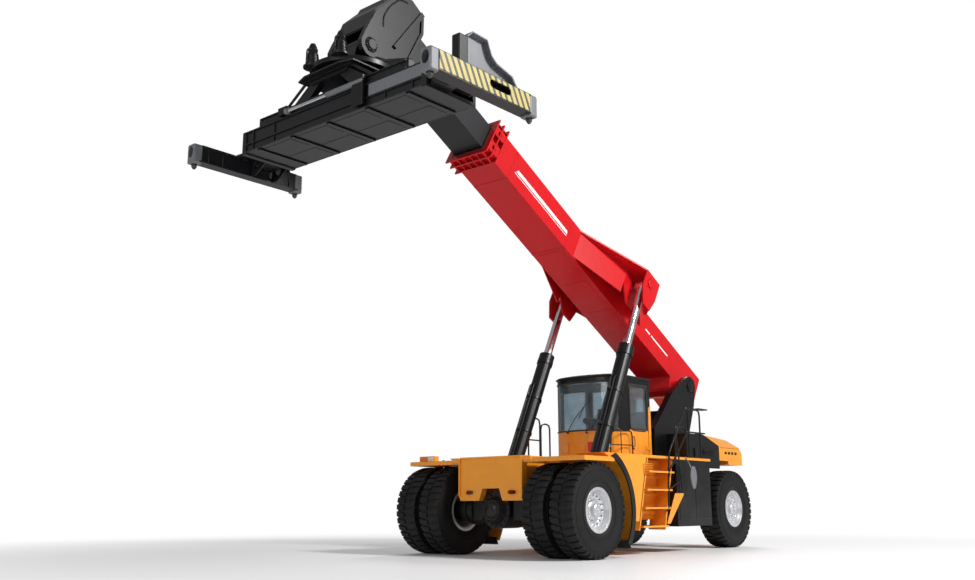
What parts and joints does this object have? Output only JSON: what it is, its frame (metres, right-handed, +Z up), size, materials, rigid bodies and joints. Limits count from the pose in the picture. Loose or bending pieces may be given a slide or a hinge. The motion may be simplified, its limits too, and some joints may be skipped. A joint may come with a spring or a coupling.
{
  "type": "reach stacker",
  "caption": "Container handler with a telescopic luffing boom, a slewing telescopic spreader, driven twin front tyres and steered rear wheels.",
  "frame": {"origin": "bottom centre of the bounding box, on the ground", "axes": "+X forward towards the spreader, +Y to the machine left, +Z up"},
  "size_m": [12.2392, 6.058, 9.7714],
  "materials": {
    "orange": "gloss",
    "cast_ballast": "painted",
    "black": "satin",
    "grey": "satin",
    "charcoal": "satin",
    "end_beam": "satin",
    "red": "gloss",
    "chrome": "polished",
    "tyre": "matte",
    "rim": "gloss",
    "glass": "clear",
    "seat_fabric": "woven",
    "cab_plastic": "grained",
    "pad_plastic": "smooth",
    "engine_iron": "rough"
  },
  "bodies": {
    "chassis": {"chassis_frame": "orange", "front_axle": "black", "rear_axle": "black", "counterweight": "cast_ballast", "boom_tower": "black", "deck_plate": "orange", "mudguard_left": "orange", "mudguard_right": "orange", "steps_left": "orange", "steps_right": "orange", "handrail_left": "black", "handrail_right": "black", "mirror_left": "grey", "mirror_right": "grey", "fuel_tank": "black", "hydraulic_tank": "black", "cab_body": "orange", "cab_frame": "black", "windscreen": "glass", "side_glass_right": "glass", "rear_glass": "glass", "operator_seat": "seat_fabric", "steering_console": "cab_plastic", "engine_block": "engine_iron", "engine_hood": "orange", "hood_cheek_left": "black", "hood_cheek_right": "black"},
    "cab_door": {"cab_door": "orange", "door_glass": "glass"},
    "engine_door_left": {"engine_door_left": "black"},
    "front_wheels_left": {"front_tyres_left": "tyre", "front_rim_left": "rim"},
    "knuckle_left": {"knuckle_left": "black"},
    "rear_wheel_left": {"rear_tyre_left": "tyre", "rear_rim_left": "rim"},
    "lift_barrel_left": {"lift_barrel_left": "black"},
    "lift_rod_left": {"lift_rod_left": "chrome"},
    "arm_left": {"arm_left": "charcoal", "end_beam_left": "end_beam"},
    "engine_door_right": {"engine_door_right": "black"},
    "front_wheels_right": {"front_tyres_right": "tyre", "front_rim_right": "rim"},
    "knuckle_right": {"knuckle_right": "black"},
    "rear_wheel_right": {"rear_tyre_right": "tyre", "rear_rim_right": "rim"},
    "lift_barrel_right": {"lift_barrel_right": "black"},
    "lift_rod_right": {"lift_rod_right": "chrome"},
    "arm_right": {"arm_right": "charcoal", "end_beam_right": "end_beam"},
    "outer_boom": {"outer_boom": "red", "slide_pads": "pad_plastic"},
    "inner_boom": {"inner_boom": "charcoal"},
    "rotator": {"rotator_head": "black"},
    "slewing_frame": {"slewing_frame": "charcoal"},
    "spreader": {"spreader_frame": "charcoal"}
  },
  "joints": [
    {"name": "front_wheels_left_spin", "type": "hinge", "parent": "chassis", "child": "front_wheels_left", "pos_m": [0.86036, 1.54, 0.83], "axis": [0, 1, 0], "continuous": true},
    {"name": "steer_left", "type": "hinge", "parent": "chassis", "child": "knuckle_left", "pos_m": [-5.13964, 0.93, 0.83], "axis": [0, 0, 1], "range_deg": [-38, 38]},
    {"name": "rear_wheel_left_spin", "type": "hinge", "parent": "knuckle_left", "child": "rear_wheel_left", "pos_m": [-5.13964, 1.35, 0.83], "axis": [0, 1, 0], "continuous": true},
    {"name": "front_wheels_right_spin", "type": "hinge", "parent": "chassis", "child": "front_wheels_right", "pos_m": [0.86036, -1.54, 0.83], "axis": [0, 1, 0], "continuous": true},
    {"name": "steer_right", "type": "hinge", "parent": "chassis", "child": "knuckle_right", "pos_m": [-5.13964, -0.93, 0.83], "axis": [0, 0, 1], "range_deg": [-38, 38]},
    {"name": "rear_wheel_right_spin", "type": "hinge", "parent": "knuckle_right", "child": "rear_wheel_right", "pos_m": [-5.13964, -1.35, 0.83], "axis": [0, 1, 0], "continuous": true},
    {"name": "boom_luff", "type": "hinge", "parent": "chassis", "child": "outer_boom", "pos_m": [-4.73964, 0, 3.55], "axis": [0, -1, 0], "range_deg": [-27.3, 30.7]},
    {"name": "boom_telescope", "type": "slide", "parent": "outer_boom", "child": "inner_boom", "axis": [-0.8721, 0, -0.4894], "range_m": [-4.5, 2]},
    {"name": "head_level", "type": "hinge", "parent": "inner_boom", "child": "rotator", "pos_m": [4.89964, 0, 8.54994], "axis": [0, -1, 0], "range_deg": [-30.7, 27.3]},
    {"name": "spreader_slew", "type": "hinge", "parent": "rotator", "child": "slewing_frame", "pos_m": [4.89964, 0, 8.54994], "axis": [0, 0, 1], "range_deg": [-105, 195]},
    {"name": "side_shift", "type": "slide", "parent": "slewing_frame", "child": "spreader", "axis": [0, 1, 0], "range_m": [-0.8, 0.8]},
    {"name": "arm_left_extend", "type": "slide", "parent": "spreader", "child": "arm_left", "axis": [0, 1, 0], "range_m": [0, 3.07]},
    {"name": "arm_right_extend", "type": "slide", "parent": "spreader", "child": "arm_right", "axis": [0, -1, 0], "range_m": [0, 3.07]},
    {"name": "lift_barrel_left_tilt", "type": "hinge", "parent": "chassis", "child": "lift_barrel_left", "pos_m": [-0.38964, 1.03, 1.2], "axis": [0, -1, 0], "range_deg": [-4.82, 5.41]},
    {"name": "lift_rod_left_stroke", "type": "slide", "parent": "lift_barrel_left", "child": "lift_rod_left", "axis": [-0.443, 0, 0.8965], "range_m": [-1.4209, 1.5977]},
    {"name": "lift_barrel_right_tilt", "type": "hinge", "parent": "chassis", "child": "lift_barrel_right", "pos_m": [-0.38964, -1.03, 1.2], "axis": [0, -1, 0], "range_deg": [-4.82, 5.41]},
    {"name": "lift_rod_right_stroke", "type": "slide", "parent": "lift_barrel_right", "child": "lift_rod_right", "axis": [-0.443, 0, 0.8965], "range_m": [-1.4209, 1.5977]},
    {"name": "cab_door_swing", "type": "hinge", "parent": "chassis", "child": "cab_door", "pos_m": [-2.93964, 0.8163, 2.7], "axis": [0, 0, 1], "range_deg": [0, 85]},
    {"name": "engine_door_left_swing", "type": "hinge", "parent": "chassis", "child": "engine_door_left", "pos_m": [-3.89964, 1.3663, 2.05], "axis": [0, 0, -1], "range_deg": [0, 80]},
    {"name": "engine_door_right_swing", "type": "hinge", "parent": "chassis", "child": "engine_door_right", "pos_m": [-3.89964, -1.3663, 2.05], "axis": [0, 0, 1], "range_deg": [0, 80]}
  ],
  "couplings": [
    {"joint": "steer_right", "follows": "steer_left", "ratio": 1},
    {"joint": "head_level", "follows": "boom_luff", "ratio": -1},
    {"joint": "arm_right_extend", "follows": "arm_left_extend", "ratio": 1},
    {"joint": "lift_barrel_left_tilt", "follows": "boom_luff", "ratio": 0.176},
    {"joint": "lift_rod_left_stroke", "follows": "boom_luff", "m_per_rad": 2.98},
    {"joint": "lift_barrel_right_tilt", "follows": "boom_luff", "ratio": 0.176},
    {"joint": "lift_rod_right_stroke", "follows": "boom_luff", "m_per_rad": 2.98}
  ]
}
